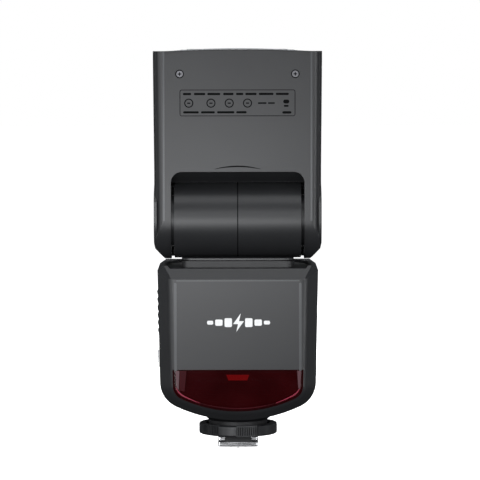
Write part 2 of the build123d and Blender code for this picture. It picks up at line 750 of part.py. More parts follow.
def head_plan(half, front, back, front_r, back_r):
    """The head's cross-section, seen along its length."""
    plan = Pos(0, (front + back) / 2) * Rectangle(2 * half, back - front)
    plan = fillet(plan.vertices().group_by(Axis.Y)[0], front_r)
    return fillet(plan.vertices().group_by(Axis.Y)[-1], back_r)


def arm_chamfers():
    """The wedges cut from the lower outer corners of both arms."""
    wedges = []
    for side in (-1, 1):
        points = [(side * 39.0, 96.2), (side * 38.2, 92.45), (side * 31.1, 83.9)]
        points += [(side * 45.0, 83.9), (side * 45.0, 96.2)]
        wedges.append(front_shape(points, (-30, 50)))
    return wedges


def arm_end(inset):
    """A rod with the outline of the arms' rounded lower ends, drawn in by a margin."""
    behind = rod_x(ARM_CURVE_R - inset, (-45, 45), 0, AXIS_Z)
    return behind & rod_x(ARM_CURVE_R - inset, (-45, 45), HEAD_FRONT + ARM_CURVE_R, AXIS_Z)


def head_form():
    """The head with its two arms, before the neck's gap and the inside are cut out."""
    lower = head_plan(HEAD_HALF, HEAD_FRONT, HEAD_BACK, 4.5, 7.0)
    top = head_plan(HEAD_HALF_TOP, HEAD_FRONT, HEAD_BACK, 4.5, 7.0)
    body = Pos(0, 0, 80) * extrude(lower, LIP_Z - 80)
    body = body + loft([Pos(0, 0, LIP_Z) * lower, Pos(0, 0, HEAD_TOP) * top])
    side = [(-20, AXIS_Z), (-20, HEAD_TOP), (40, HEAD_TOP), (40, 124.6), (15.0, 114.4), (0, AXIS_Z)]
    body = body & (side_shape(side, 45) + arm_end(0))
    for wedge in arm_chamfers():
        body = body - wedge
    return body


def arm_pads():
    """The round pads inside the arms, next to the drum's ends."""
    pads = []
    for x in ((-ARM_INNER, -PAD_X), (PAD_X, ARM_INNER)):
        wide = rod_x(PAD_BACK_R, x, 0, AXIS_Z) & block((-40, 40), (PAD_BACK_Y, 30), (80, 130))
        pads.append(rod_x(PAD_R, x, 0, AXIS_Z) + wide)
    return pads


def neck_gap():
    """The gap between the arms that the neck's drum turns in, with its slanted ceiling."""
    points = [(-40, 60), (-40, LIP_Z), (HEAD_FRONT, LIP_Z), (-4, 123.0), (0, 110), (14.8, 115.6)]
    points += [(40, 124.2), (40, 60)]
    gap = side_shape(points, ARM_INNER)
    ceiling = RectangleRounded(2 * ARM_INNER, 2 * (LIP_Z - 90), 5.0)
    ceiling = extrude(Plane.XZ * Pos(0, 90) * ceiling, amount=60, both=True)
    gap = (gap & ceiling) + rod_x(CAVITY_R, (-ARM_INNER, ARM_INNER), 0, AXIS_Z)
    for pad in arm_pads():
        gap = gap - pad
    return gap


def cap_recess(side):
    """The round seat of one hinge cap and the hollow behind it."""
    outer = (CAP_X[0], 42) if side > 0 else (-42, -CAP_X[0])
    hollow = (32.6, 42) if side > 0 else (-42, -32.6)
    seat = rod_x(CAP_R + SEAM, outer, 0, AXIS_Z)
    seat = seat & (arm_end(0.5) + block((-45, 45), (HEAD_FRONT + 0.5, 30), (AXIS_Z, 130)))
    ring = rod_x(13.0, hollow, 0, AXIS_Z) - rod_x(8.5, (-45, 45), 0, AXIS_Z)
    return [seat, ring]


def head_shell():
    """Both head shells in one, hollow, with the rib that carries the card slot."""
    shell = head_form() - neck_gap()
    inside = head_plan(HEAD_HALF - HEAD_WALL, HEAD_FRONT + HEAD_WALL, HEAD_BACK - HEAD_WALL, 3.0, 5.0)
    shell = shell - Pos(0, 0, HEAD_FLOOR) * extrude(inside, 60)
    for side in (-1, 1):
        for cut in cap_recess(side):
            shell = shell - cut
    return shell - rod_x(AXLE_R, (-45, 45), 0, AXIS_Z)


def head_lower_shell():
    shell = head_shell() & block((-50, 50), (-50, HEAD_SPLIT), (60, 200))
    for side in (-1, 1):
        shell = shell - rod_y(2.0, side * SCREW_X, (HEAD_FRONT - 1, HEAD_FRONT + 0.9), SCREW_Z)
        shell = shell - rod_y(1.05, side * SCREW_X, (HEAD_FRONT - 1, HEAD_FRONT + 9), SCREW_Z)
    return largest(shell)


def head_upper_shell():
    shell = head_shell() & block((-50, 50), (HEAD_SPLIT, 50), (60, 200))
    return shell + block((-36.5, 36.5), (28.0, 28.8), (HEAD_FLOOR - 0.5, 179.0))


def head_screw(side):
    """A small cross-recessed screw in the underside."""
    x = side * SCREW_X
    head = rod_y(1.6, x, (HEAD_FRONT + 0.1, HEAD_FRONT + 0.9), SCREW_Z)
    arm = (HEAD_FRONT - 1, HEAD_FRONT + 0.6)
    head = head - block((x - 1.0, x + 1.0), arm, (SCREW_Z - 0.22, SCREW_Z + 0.22))
    head = head - block((x - 0.22, x + 0.22), arm, (SCREW_Z - 1.0, SCREW_Z + 1.0))
    return head + rod_y(1.0, x, (HEAD_FRONT + 0.9, HEAD_FRONT + 8), SCREW_Z)


def head_screws():
    return group([head_screw(-1), head_screw(1)])


def hinge_cap(side):
    x = CAP_X if side > 0 else (-CAP_X[1], -CAP_X[0])
    cap = rod_x(CAP_R, x, 0, AXIS_Z)
    cap = cap & (arm_end(0.6) + block((-45, 45), (HEAD_FRONT + 0.6, 30), (AXIS_Z, 130)))
    for wedge in arm_chamfers():
        cap = cap - wedge
    return cap


def hinge_cap_left():
    return hinge_cap(-1)


def hinge_cap_right():
    return hinge_cap(1)


def head_bezel():
    """The frame round the lens, with a gently arched front edge."""
    plan = head_plan(HEAD_HALF_TOP, HEAD_FRONT, HEAD_BACK, 4.5, 7.0)
    frame = Pos(0, 0, HEAD_TOP) * extrude(plan, 6)
    crown = rod_y(CROWN_R, 0, (-40, 60), BEZEL_CROWN - CROWN_R)
    rails = block((-45, 45), (-40, 60), (170, BEZEL_SIDE)) - block((-34, 34), (-50, 70), (160, 200))
    frame = frame & (crown + rails)
    half = LENS_HALF + SEAM
    frame = frame - block((-half, half), (LENS_Y[0] - SEAM, LENS_Y[1] + SEAM), (170, 200))
    return frame - block((-27.2, 27.2), (29.3, 33.2), (170, 200))


def fresnel_lens():
    """The clear front lens: a domed cup with a flange inside the shells."""
    dome = block((-LENS_HALF, LENS_HALF), LENS_Y, (179.8, 190))
    dome = dome & rod_y(LENS_DOME_R, 0, (-40, 60), LENS_CROWN - LENS_DOME_R)
    lens = dome + block((-33.0, 33.0), (-11.8, 27.4), (178.6, 179.9))
    hollow = block((-29.4, 29.4), (LENS_Y[0] + 2, LENS_Y[1] - 2), (170, 190))
    return lens - (hollow & rod_y(LENS_DOME_R, 0, (-40, 60), LENS_CROWN - LENS_THICK - LENS_DOME_R))


def head_board():
    return block((-24, 24), (-12.4, -11.0), (134, 170))


def zoom_guide_rods():
    return group([rod_z(ROD_R, side * ROD_X, ROD_Y, (HEAD_FLOOR, 178.4)) for side in (-1, 1)])


def zoom_motor():
    return rod_z(4.6, LEAD_X, LEAD_Y, (HEAD_FLOOR, 143.0))


def zoom_lead_screw():
    """The lead screw, with a flat on it that shows its turning."""
    screw = rod_z(LEAD_R, LEAD_X, LEAD_Y, (143.1, 178.0))
    return screw - block((LEAD_X + 1.1, LEAD_X + 3), (10, 30), (170, 180))


def reflector():
    """The polished trough behind the flash tube, with its two end plates."""
    x = (-REFLECTOR_HALF, REFLECTOR_HALF)
    trough = rod_x(REFLECTOR_R, x, REFLECTOR_Y, REFLECTOR_Z)
    inner = (-REFLECTOR_HALF + 0.7, REFLECTOR_HALF - 0.7)
    trough = trough - rod_x(REFLECTOR_R - 0.7, inner, REFLECTOR_Y, REFLECTOR_Z)
    return trough & block((-40, 40), (-40, 40), (120, REFLECTOR_Z))


def flash_tube():
    """The glass tube and its two electrode ends, held by the reflector's end plates."""
    ends = REFLECTOR_HALF - 0.7
    return rod_x(2.2, (-21, 21), REFLECTOR_Y, 143.0) + rod_x(1.2, (-ends, ends), REFLECTOR_Y, 143.0)


def zoom_carriage():
    """The carriage that moves the reflector along the two guide rods."""
    carriage = block((-26, 26), (-7, 19), (133.5, 135.5))
    trough = rod_x(REFLECTOR_R, (-40, 40), REFLECTOR_Y, REFLECTOR_Z)
    for x in (-15.0, 15.0):
        cradle = block((x - 1, x + 1), (REFLECTOR_Y - 9, REFLECTOR_Y + 9), (135.0, 143.0))
        carriage = carriage + (cradle - trough)
    for side in (-1, 1):
        reach = (25.0, 33.6) if side > 0 else (-33.6, -25.0)
        carriage = carriage + block(reach, (-7, -1), (133.5, 139.0))
        carriage = carriage - rod_z(ROD_R + FIT, side * ROD_X, ROD_Y, (130, 145))
    carriage = carriage + block((25.4, 28), (6, 12), (133.5, 149.0))
    carriage = carriage + block((25.4, 34.5), (6, 22), (145.0, 149.0))
    return carriage - rod_z(LEAD_R + FIT, LEAD_X, LEAD_Y, (140, 155))


def catchlight_card():
    card = block((-24, 24), CARD_Y, (134, 184.6))
    return card + block((-9, 9), (CARD_Y[1] - 0.1, CARD_Y[1] + 0.4), (183.2, 184.6))


def wide_panel():
    panel = block((-27, 27), PANEL_Y, (132.5, 184.3))
    return panel + block((-9, 9), (PANEL_Y[0] - 0.2, PANEL_Y[0] + 0.1), (184.0, 184.3))


# --- Writing the parts ---------------------------------------------------------------------

PARTS = [
    body_front_shell,
    body_rear_shell,
    turntable_seat,
    af_window,
    af_lamp,
    lcd_window,
    lcd_module,
    battery_tray,
    aa_cells,
    battery_contacts,
    main_board,
    main_capacitor,
    inverter_transformer,
    body_screws,
    battery_door,
    battery_door_hinge_pin,
    port_cover,
    usb_socket,
    sync_jack,
    power_switch,
    select_dial,
    set_button,
    foot_plate,
    foot_stem,
    foot_contact_block,
    contact_pins,
    lock_pin,
    clamp_plate,
    lock_wheel,
    swivel_base,
    swivel_shaft,
    swivel_retaining_ring,
    neck_left_shell,
    neck_right_shell,
    tilt_axle,
    tilt_detent_disc,
    tilt_detent_spring,
    head_lower_shell,
    head_upper_shell,
    head_screws,
    hinge_cap_left,
    hinge_cap_right,
    head_bezel,
    fresnel_lens,
    head_board,
    zoom_guide_rods,
    zoom_motor,
    zoom_lead_screw,
    reflector,
    flash_tube,
    zoom_carriage,
    catchlight_card,
    wide_panel,
]


def write_part(name, shape):
    export_step(group([shape]), f"parts/{name}.step")
    print(name, len(shape.solids()), "solid(s)", round(group([shape]).volume), "mm3")


def main():
    os.makedirs("parts", exist_ok=True)
    for make in PARTS:
        write_part(make.__name__, make())
    for name, (x, z) in BUTTON_PLACES.items():
        write_part(f"{name}_button", round_button(x, z))
    for number, x in enumerate(KEY_XS, start=1):
        write_part(f"soft_key_{number}", soft_key(x))


main()
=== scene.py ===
import json
import math

import bmesh
import bpy
from mathutils import Matrix, Vector


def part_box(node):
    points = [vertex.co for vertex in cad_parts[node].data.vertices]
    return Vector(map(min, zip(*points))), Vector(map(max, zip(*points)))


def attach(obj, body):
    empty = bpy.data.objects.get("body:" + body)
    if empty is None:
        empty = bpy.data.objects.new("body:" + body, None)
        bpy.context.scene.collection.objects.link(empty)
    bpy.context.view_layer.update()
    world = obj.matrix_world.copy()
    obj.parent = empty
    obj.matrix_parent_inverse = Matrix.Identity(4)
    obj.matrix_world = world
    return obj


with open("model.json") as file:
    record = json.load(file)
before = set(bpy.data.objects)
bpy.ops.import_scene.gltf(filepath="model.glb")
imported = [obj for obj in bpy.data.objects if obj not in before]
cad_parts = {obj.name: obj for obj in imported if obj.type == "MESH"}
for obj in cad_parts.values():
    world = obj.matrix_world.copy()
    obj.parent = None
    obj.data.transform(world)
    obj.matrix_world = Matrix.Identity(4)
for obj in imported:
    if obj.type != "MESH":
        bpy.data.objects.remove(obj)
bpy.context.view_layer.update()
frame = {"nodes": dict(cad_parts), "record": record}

# Places come from the frame, in metres, where a node gives them, and from the figures below
# where none does. X is to the right seen from the front, -Y is the front and +Z is up.
nodes = frame["nodes"]
MM = 0.001

# Camera: lengths in metres and angles in radians, but the lens and the sensor in mm
CAMERA_DISTANCE = 1.4
CAMERA_RISE = math.radians(3.6)
CAMERA_ROLL = math.radians(-0.1)
CAMERA_AIM = Vector((0.00104, 0.0, 0.0957))
CAMERA_LENS = 225.3
SENSOR_WIDTH = 36.0
VIEW_END = 20.0

# Softboxes: name, azimuth and rise in degrees, distance and size in metres, power in watts
STUDIO_MIDDLE = Vector((0.0, 0.0, 0.11))
STRIP = (0.15, 0.5)
SHORT_STRIP = (0.08, 0.25)
WIDE_BOX = (0.25, 0.5)
LIGHT_TINT = (0.965, 0.98, 1.0)
UNREFLECTED = ("rear_left", "rear_right")  # they would glare on upward faces seen from the front
SOFTBOXES = [
    ("lens_lamp", -2, -3, 0.3, (0.1, 0.05), 0.18),
    ("left_strip", -22, -7, 0.5, SHORT_STRIP, 0.56),
    ("left_front_strip", -14, -7, 0.5, SHORT_STRIP, 0.37),
    ("right_strip", 22, 0, 0.9, STRIP, 0.62),
    ("right_front_strip", 15, 0, 0.9, STRIP, 0.4),
    ("left_side", -45, 0, 0.9, STRIP, 1.5),
    ("right_side", 45, 0, 0.9, STRIP, 1.9),
    ("upper_front", 0, 62, 0.9, (0.4, 0.2), 0.85),
    ("middle_front", 0, 24, 0.9, (0.4, 0.1), 0.95),
    ("left_far", -95, 0, 0.9, STRIP, 0.4),
    ("right_far", 95, 0, 0.9, STRIP, 0.4),
    ("overhead", 0, 85, 0.9, (0.4, 0.4), 1.2),
    ("rear_left", -140, 5, 0.9, WIDE_BOX, 9.0),
    ("rear_right", 140, 5, 0.9, WIDE_BOX, 9.0),
    ("rear_high", 180, 60, 1.0, (0.5, 0.5), 5.0),
]

# World and floor
WHITE = (1.0, 1.0, 1.0, 1.0)
WORLD_TINT = (0.92, 0.95, 1.0, 1.0)
WORLD_STRENGTH = 0.05
FLOOR_HALF = 6.0
FLOOR_GAP = 0.2 * MM

# Prints and strips stand this far out of the surface, and reach this far into it
PRINT_PROUD = 0.05 * MM
PRINT_SUNK = 0.1 * MM

# Which way along Y a print faces
FRONTWARDS = -1
BACKWARDS = 1

# Points on round outlines
BAR_ROUNDING = 0.98  # corner radius of a bar as a share of its smaller half
CIRCLE_STEPS = 32
ARC_STEPS = 24  # along the crescent and the bezel's lip

# Material constants: bump distances in metres, noise scales per metre
NOISE_MIDDLE = (0.3, 0.7)  # the stretch of a noise value that is spread over a range
GRAIN_DEPTH = 0.00005
FINE_DEPTH = 0.00003
DRIFT_SCALE = 45.0
MOULD_GRAIN = 2600.0
PRINT_GRAIN = 1500.0
MOULD_BUMP = 0.1
PRINT_BUMP = 0.03
RIM_BUMP = 0.02
CLEAR_BUMP = 0.04
METAL_BUMP = 0.05
BRUSHED = (120.0, 2400.0, 2400.0)
MOULDED_IOR = 1.5
CLEAR_IOR = 1.49
WINDOW_IOR = 1.45
WINDOW_SPECULAR = 0.25
DULL_SPECULAR = 0.1

# Scene pieces that sit on the CAD: lengths in mm
MARK_X = 0.3
MARK_Z = 59.5
MARK_BOLT_HEIGHT = 8.4
MARK_BARS = ((4.7, 1.7), (9.0, 1.7), (13.0, 1.4))  # distance from the bolt and half width
MARK_BAR_HEIGHT = 2.7
MARK_BAR_SHRINK = 0.14  # half height lost per mm from the bolt
MARK_BAR_CORNER = 0.6
LABEL_Z = 159.8
LABEL_TOP_BARS = (
    (-23.2, 1.9), (-17.4, 2.6), (-10.9, 3.0), (-4.2, 2.4), (1.0, 1.7), (6.2, 2.6), (13.2, 3.4), (20.6, 3.0),
)
LABEL_LOW_BARS = ((-21.4, 3.6), (-13.6, 3.2), (-5.4, 4.0), (1.8, 2.4))
LABEL_SHORT_BARS = ((11.4, 2.0), (15.6, 1.6))
LABEL_ROWS = (  # x and half width of each bar, height over the label's middle, half height
    (LABEL_TOP_BARS, 4.1, 0.5),
    (LABEL_LOW_BARS, -4.3, 0.5),
    (LABEL_SHORT_BARS, -0.1, 0.35),
)
LABEL_SIDE_BARS = ((22.4, 0.6, 1.4, 0.9), (22.4, -1.4, 1.1, 0.45), (22.7, -4.4, 2.1, 0.55))
LABEL_FRAME = ((26.6, 6.1, 1.0), (26.3, 5.8, 0.7))  # half width, half height and corner radius
LABEL_RING_X = (-22.4, -12.2, -3.8, 4.6)
LABEL_RING_Z = LABEL_Z - 0.1
LABEL_RING_R = (2.1, 1.6)
LABEL_RING_BAR = (0.8, 0.28)
CRESCENT_HALF = 10.6
CRESCENT_TOP = (129.4, 1.55)  # height at the ends, and rise in the middle
CRESCENT_FOOT = (129.25, 1.05)
GROOVE_R = 17.45
GROOVE_HALF = 0.45
GROOVE_DEPTH = 0.3
GROOVE_STEPS = 96
SCREW_X = 26.6
SCREW_RING_R = (1.95, 1.5)
SCREW_CROSS = (0.85, 0.24)
WHEEL_STRETCHES = (-136, -76, 44, 104)  # middles of the ribbed stretches, degrees from +X
WHEEL_SPAN = 34.0  # degrees of each stretch
WHEEL_RIBS = 10
WHEEL_GAP_R = (17.1, 17.3)
WHEEL_GAP_HALF = 0.15  # of the spacing of the ribs
WHEEL_EDGE = 0.6
RIM_DEPTH = 9.0  # how far under the window's top its rim starts
RIM_INSET = 0.965  # share of the window's own x
RIM_RISE = 1.05
RIM_CORNER_X = 17.0
RIM_WIDTH = (0.12, 0.4)  # at the ends, and added in the middle
RIM_LEAN = 0.024  # share of x that the upper edge is drawn in by, per mm of width
# Painted reflections at the sides of the red window, and a dimmer one inside the left side
SIDE_REFLECTION_PLACES = (("window_side_reflection_left", -27.8), ("window_side_reflection_right", 28.0))
SIDE_REFLECTION_TOP_GAP = 0.4
SIDE_REFLECTION_OUTLINE = ((-0.85, 0), (0.95, 0), (0.6, -8.6), (-0.35, -8.0))  # from its x and the top
SIDE_REFLECTION_INNER = ((-26.7, 0), (-23.6, 0), (-24.6, -9.6), (-26.9, -8.8))
LAMP_OUTLINE = ((-5.4, 35.3), (5.2, 35.3), (4.2, 32.7), (-4.4, 32.7))
# Painted highlights: strips along the head's edges, the panel's sides and the panel's top edge
HEAD_EDGE_HIGHLIGHT = (34.0, 144.4, 0.42, 39.0)  # x, z, half width and half height
PANEL_EDGE_HIGHLIGHT = (28.6, 57.5, 0.6, 20.3)
PANEL_TOP_HIGHLIGHT = (0, 78.7, 28.2, 0.24)
PAD_Y = -6.0
PAD_X = 30.12
PAD_OFFSET = 13.8
PAD_HALF = (0.62, 1.9)
LIP_HALF = 34.2
LIP_FOOT = 182.2
LIP_CROWN = 184.3
LIP_DROP = 0.7
LIP_FRONT = -14.4
LIP_DEPTH = 3.4
NIB_OUTLINE = ((-0.55, 0.6), (0.55, 0.6), (0.55, -0.2), (0.3, -0.45), (-0.3, -0.45), (-0.55, -0.2))
NIB_FRONT = -9.0
NIB_DEPTH = 1.5
DISPLAY_FIGURES = (("105", 9.5), ("56", -12.0))
DISPLAY_FIGURES_Z = 71.5
DISPLAY_FIGURES_HEIGHT = 6.0
DISPLAY_DASH = (-12.0, 76.6, 4.6, 0.3)
SCALE_STEPS = 9
SCALE_START = 15.0
SCALE_PITCH = 3.75
SCALE_Z = 62.6
SCALE_HALF_X = 0.25
SCALE_HALF_Z = (1.5, 0.9)  # long and short strokes by turns
SCALE_LABEL_Z = 59.4
SCALE_LABEL = (1.25, 0.8)
GAUGE_X = 10.8
GAUGE_Z = 65.8
GAUGE_FRAME = ((4.8, 1.5, 0.4), (4.5, 1.2, 0.3))
GAUGE_CELLS = (13.4, 10.8, 8.2)
GAUGE_CELL = (1.0, 0.8, 0.2)
SOFT_KEY_X = (-15, -5, 5, 15)
SOFT_KEY_DASH_Z = 52.6
SOFT_KEY_DASH = (1.6, 0.22)
KEY_BOLT = (-19, 43.2, 3.2)
KEY_BARS = (
    (19, 43.2, 1.5, 0.25), (19, 42.2, 1.5, 0.25),
    (18.6, 31.7, 0.8, 0.2), (18.6, 32.4, 1.15, 0.2), (18.6, 33.1, 1.5, 0.2),
    (-16.2, 26.5, 0.25, 0.9), (-23.0, 26.5, 0.6, 0.25),
)
KNURL_RIBS = 48
KNURL_R = (11.3, 11.56)
KNURL_FRONT = 29.4
KNURL_INSET = 0.5
KNURL_PROFILE = ((-0.32, 0), (-0.16, 1), (0.16, 1), (0.32, 0))  # share of the spacing, and 1 at the crest
ARROW_OUTLINE = ((8.9, 0.0), (7.3, 1.1), (7.3, -1.1))  # distance from the dial's middle, and sideways
DOOR_ARROW_OUTLINE = ((-2.5, 44.0), (1.5, 38.0), (5.5, 44.0))
DOOR_ARROW_SUNK = 0.3
DOOR_ARROW_THICK = 0.35
LENS_DOME_R = 411.4
LENS_HALF = 28.0
LENS_BANDS = 11
LENS_STEPS = 18
RIDGE_PROFILE = ((-0.35, -0.25), (0.0, 0.03), (0.35, -0.25))


# --- Places taken from the frame ----------------------------------------------------------------


def low(node):
    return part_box(node)[0]


def high(node):
    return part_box(node)[1]


def centre(node):
    return (low(node) + high(node)) / 2


FRONT_Y = low("body_front_shell").y
BACK_Y = high("lcd_window").y
HEAD_FRONT_Y = low("head_lower_shell").y
DRUM_CENTRE = centre("tilt_axle")
DIAL_CENTRE = centre("select_dial")


# --- Helpers ----------------------------------------------------------------------------------


def new_object(name, data):
    piece = bpy.data.objects.new(name, data)
    bpy.context.scene.collection.objects.link(piece)
    return piece


def mesh_from(name, build):
    """A new mesh object whose geometry a function adds to an empty bmesh."""
    bm = bmesh.new()
    build(bm)
    bmesh.ops.recalc_face_normals(bm, faces=bm.faces)
    mesh = bpy.data.meshes.new(name)
    bm.to_mesh(mesh)
    bm.free()
    return new_object(name, mesh)


def dress(piece, material, body):
    """Gives a new piece its material and the body that it rides on."""
    piece.data.materials.clear()
    piece.data.materials.append(material)
    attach(piece, body)


def rounded_rectangle(half_x, half_z, radius, steps=5):
    """Corner points of a rounded rectangle about the origin, anticlockwise."""
    points = []
    corners = ((1, 1, 0), (-1, 1, 90), (-1, -1, 180), (1, -1, 270))
    for side_x, side_z, start in corners:
        for step in range(steps + 1):
            angle = math.radians(start + 90 * step / steps)
            x = side_x * (half_x - radius) + radius * math.cos(angle)
            z = side_z * (half_z - radius) + radius * math.sin(angle)
            points.append((x, z))
    return points


def circle(radius):
    turn = 2 * math.pi / CIRCLE_STEPS
    return [(radius * math.cos(turn * k), radius * math.sin(turn * k)) for k in range(CIRCLE_STEPS)]


def shifted(points, x, z):
    return [(px + x, pz + z) for px, pz in points]


def bar(x, z, half_x, half_z):
    """A bar with round ends, as a list of outline points."""
    radius = BAR_ROUNDING * min(half_x, half_z)
    return shifted(rounded_rectangle(half_x, half_z, radius, 4), x, z)


def add_plate(bm, outline, place):
    """A thin closed plate: its outline is mapped to the two faces by place(x, z, level)."""
    lower = [bm.verts.new(place(x, z, 0)) for x, z in outline]
    upper = [bm.verts.new(place(x, z, 1)) for x, z in outline]
    bm.faces.new(lower)
    bm.faces.new(upper)
    for k in range(len(outline)):
        following = (k + 1) % len(outline)
        bm.faces.new((lower[k], lower[following], upper[following], upper[k]))


def add_frame(bm, outer, inner, place):
    """A closed plate with a hole: outer and inner outlines have the same number of points."""
    rings = []
    for outline in (outer, inner):
        for level in (0, 1):
            rings.append([bm.verts.new(place(x, z, level)) for x, z in outline])
    outer_low, outer_high, inner_low, inner_high = rings
    for k in range(len(outer)):
        following = (k + 1) % len(outer)
        for first, second in (
            (outer_low, outer_high),
            (inner_high, inner_low),
            (outer_high, inner_high),
            (inner_low, outer_low),
        ):
            bm.faces.new((first[k], first[following], second[following], second[k]))


def on_plane(y, outward):
    """Maps outline points in mm to an upright plane that faces the front or the back."""

    def place(x, z, level):
        depth = PRINT_PROUD if level else -PRINT_SUNK
        return (x * MM, y + outward * depth, z * MM)

    return place


def printed(name, outlines, y, outward, material, body, frames=()):
    """A flat print or raised mark made of plates and frames, in mm, on an upright plane."""

    def build(bm):
        place = on_plane(y, outward)
        for outline in outlines:
            add_plate(bm, outline, place)
        for outer, inner in frames:
            add_frame(bm, outer, inner, place)

    dress(mesh_from(name, build), material, body)


# --- Camera, lights and floor -------------------------------------------------------------------


def add_camera():
    data = bpy.data.cameras.new("camera")
    data.lens = CAMERA_LENS
    data.sensor_width = SENSOR_WIDTH
    data.clip_end = VIEW_END
    camera = new_object("camera", data)
    back = Vector((0.0, -math.cos(CAMERA_RISE), math.sin(CAMERA_RISE)))
    camera.location = CAMERA_AIM + back * CAMERA_DISTANCE
    turn = Matrix.Rotation(CAMERA_ROLL, 4, "Z")
    facing = (-back).to_track_quat("-Z", "Y").to_matrix().to_4x4()
    camera.rotation_euler = (facing @ turn).to_euler()
    bpy.context.scene.camera = camera


def add_softbox(name, azimuth, rise, distance, size, power):
    """A rectangular softbox that faces the object; azimuth 0 is the front and + is right.

    The lights named in UNREFLECTED light the object but don't show in its reflections.
    """
    data = bpy.data.lights.new(name, "AREA")
    data.shape = "RECTANGLE"
    data.size = size[0]
    data.size_y = size[1]
    data.energy = power
    data.color = LIGHT_TINT
    light = new_object(name, data)
    turn = math.radians(azimuth)
    lift = math.radians(rise)
    flat = math.cos(lift)
    outward = Vector((math.sin(turn) * flat, -math.cos(turn) * flat, math.sin(lift)))
    light.location = STUDIO_MIDDLE + outward * distance
    light.rotation_euler = (-outward).to_track_quat("-Z", "Y").to_euler()
    light.visible_glossy = name not in UNREFLECTED


def add_lights():
    """Strips in front and at the sides, a small lamp near the lens axis, boxes above and behind."""
    for name, azimuth, rise, distance, size, power in SOFTBOXES:
        add_softbox(name, azimuth, rise, distance, size, power)


def add_world():
    """A pale studio: white to the eye, and dimmer as a light on the object."""
    world = bpy.data.worlds.new("studio")
    world.use_nodes = True
    bpy.context.scene.world = world
    tree = world.node_tree
    tree.nodes.clear()
    seen = tree.nodes.new("ShaderNodeBackground")
    seen.inputs["Color"].default_value = WHITE
    lit = tree.nodes.new("ShaderNodeBackground")
    lit.inputs["Color"].default_value = WORLD_TINT
    lit.inputs["Strength"].default_value = WORLD_STRENGTH
    path = tree.nodes.new("ShaderNodeLightPath")
    mix = tree.nodes.new("ShaderNodeMixShader")
    out = tree.nodes.new("ShaderNodeOutputWorld")
    tree.links.new(path.outputs["Is Camera Ray"], mix.inputs["Fac"])
    tree.links.new(lit.outputs["Background"], mix.inputs[1])
    tree.links.new(seen.outputs["Background"], mix.inputs[2])
    tree.links.new(mix.outputs["Shader"], out.inputs["Surface"])


def add_floor(material):
    height = low("lock_pin").z - FLOOR_GAP

    def build(bm):
        bmesh.ops.create_grid(bm, x_segments=4, y_segments=4, size=FLOOR_HALF)
        bmesh.ops.translate(bm, verts=bm.verts, vec=(0.0, 0.0, height))

    floor = mesh_from("floor", build)
    floor.data.materials.append(material)
    floor.visible_diffuse = False
    floor.visible_glossy = False


# --- Materials ---------------------------------------------------------------------------------


def shader(name):
    """A new material, its node tree and its principled shader."""
    material = bpy.data.materials.new(name)
    material.use_nodes = True
    tree = material.node_tree
    return material, tree, tree.nodes["Principled BSDF"]


def noise(tree, scale, detail):
    node = tree.nodes.new("ShaderNodeTexNoise")
    node.inputs["Scale"].default_value = scale
    node.inputs["Detail"].default_value = detail
    coordinates = tree.nodes.new("ShaderNodeTexCoord")
    tree.links.new(coordinates.outputs["Object"], node.inputs["Vector"])
    return node.outputs["Fac"]


def remap(tree, value, low_value, high_value):
    """Spreads the middle of a noise value over a range."""
    node = tree.nodes.new("ShaderNodeMapRange")
    node.inputs["From Min"].default_value = NOISE_MIDDLE[0]
    node.inputs["From Max"].default_value = NOISE_MIDDLE[1]
    node.inputs["To Min"].default_value = low_value
    node.inputs["To Max"].default_value = high_value
    tree.links.new(value, node.inputs["Value"])
    return node.outputs["Result"]


def blend_colours(tree, factor, first, second):
    node = tree.nodes.new("ShaderNodeMix")
    node.data_type = "RGBA"
    node.inputs["A"].default_value = (*first, 1.0)
    node.inputs["B"].default_value = (*second, 1.0)
    tree.links.new(factor, node.inputs["Factor"])
    return node.outputs["Result"]


def add_bump(tree, principled, height, strength, distance):
    node = tree.nodes.new("ShaderNodeBump")
    node.inputs["Strength"].default_value = strength
    node.inputs["Distance"].default_value = distance
    tree.links.new(height, node.inputs["Height"])
    tree.links.new(node.outputs["Normal"], principled.inputs["Normal"])


def moulded(name, dark, light, rough, grain=MOULD_GRAIN, bump=MOULD_BUMP):
    """Moulded plastic: fine spark-eroded grain, faint tone drift and uneven sheen."""
    material, tree, principled = shader(name)
    drift = noise(tree, DRIFT_SCALE, 4.0)
    speckle = noise(tree, grain, 2.0)
    colour = blend_colours(tree, remap(tree, drift, 0.0, 1.0), dark, light)
    tree.links.new(colour, principled.inputs["Base Color"])
    tree.links.new(remap(tree, drift, *rough), principled.inputs["Roughness"])
    add_bump(tree, principled, speckle, bump, GRAIN_DEPTH)
    principled.inputs["IOR"].default_value = MOULDED_IOR
    return material


def ink(name, dark, light, rough, bump=PRINT_BUMP):
    """A finish for small prints and strips, smoother than the case."""
    return moulded(name, dark, light, rough, PRINT_GRAIN, bump)


def metal(name, colour, rough):
    """Bright metal with fine brushed streaks along one direction."""
    material, tree, principled = shader(name)
    coordinates = tree.nodes.new("ShaderNodeTexCoord")
    stretch = tree.nodes.new("ShaderNodeMapping")
    stretch.inputs["Scale"].default_value = BRUSHED
    tree.links.new(coordinates.outputs["Object"], stretch.inputs["Vector"])
    streaks = tree.nodes.new("ShaderNodeTexNoise")
    streaks.inputs["Scale"].default_value = 1.0
    streaks.inputs["Detail"].default_value = 3.0
    tree.links.new(stretch.outputs["Vector"], streaks.inputs["Vector"])
    darker = tuple(0.82 * part for part in colour)
    tone = blend_colours(tree, remap(tree, streaks.outputs["Fac"], 0.0, 1.0), darker, colour)
    tree.links.new(tone, principled.inputs["Base Color"])
    spread = remap(tree, streaks.outputs["Fac"], *rough)
    tree.links.new(spread, principled.inputs["Roughness"])
    principled.inputs["Metallic"].default_value = 1.0
    add_bump(tree, principled, streaks.outputs["Fac"], METAL_BUMP, FINE_DEPTH)
    return material


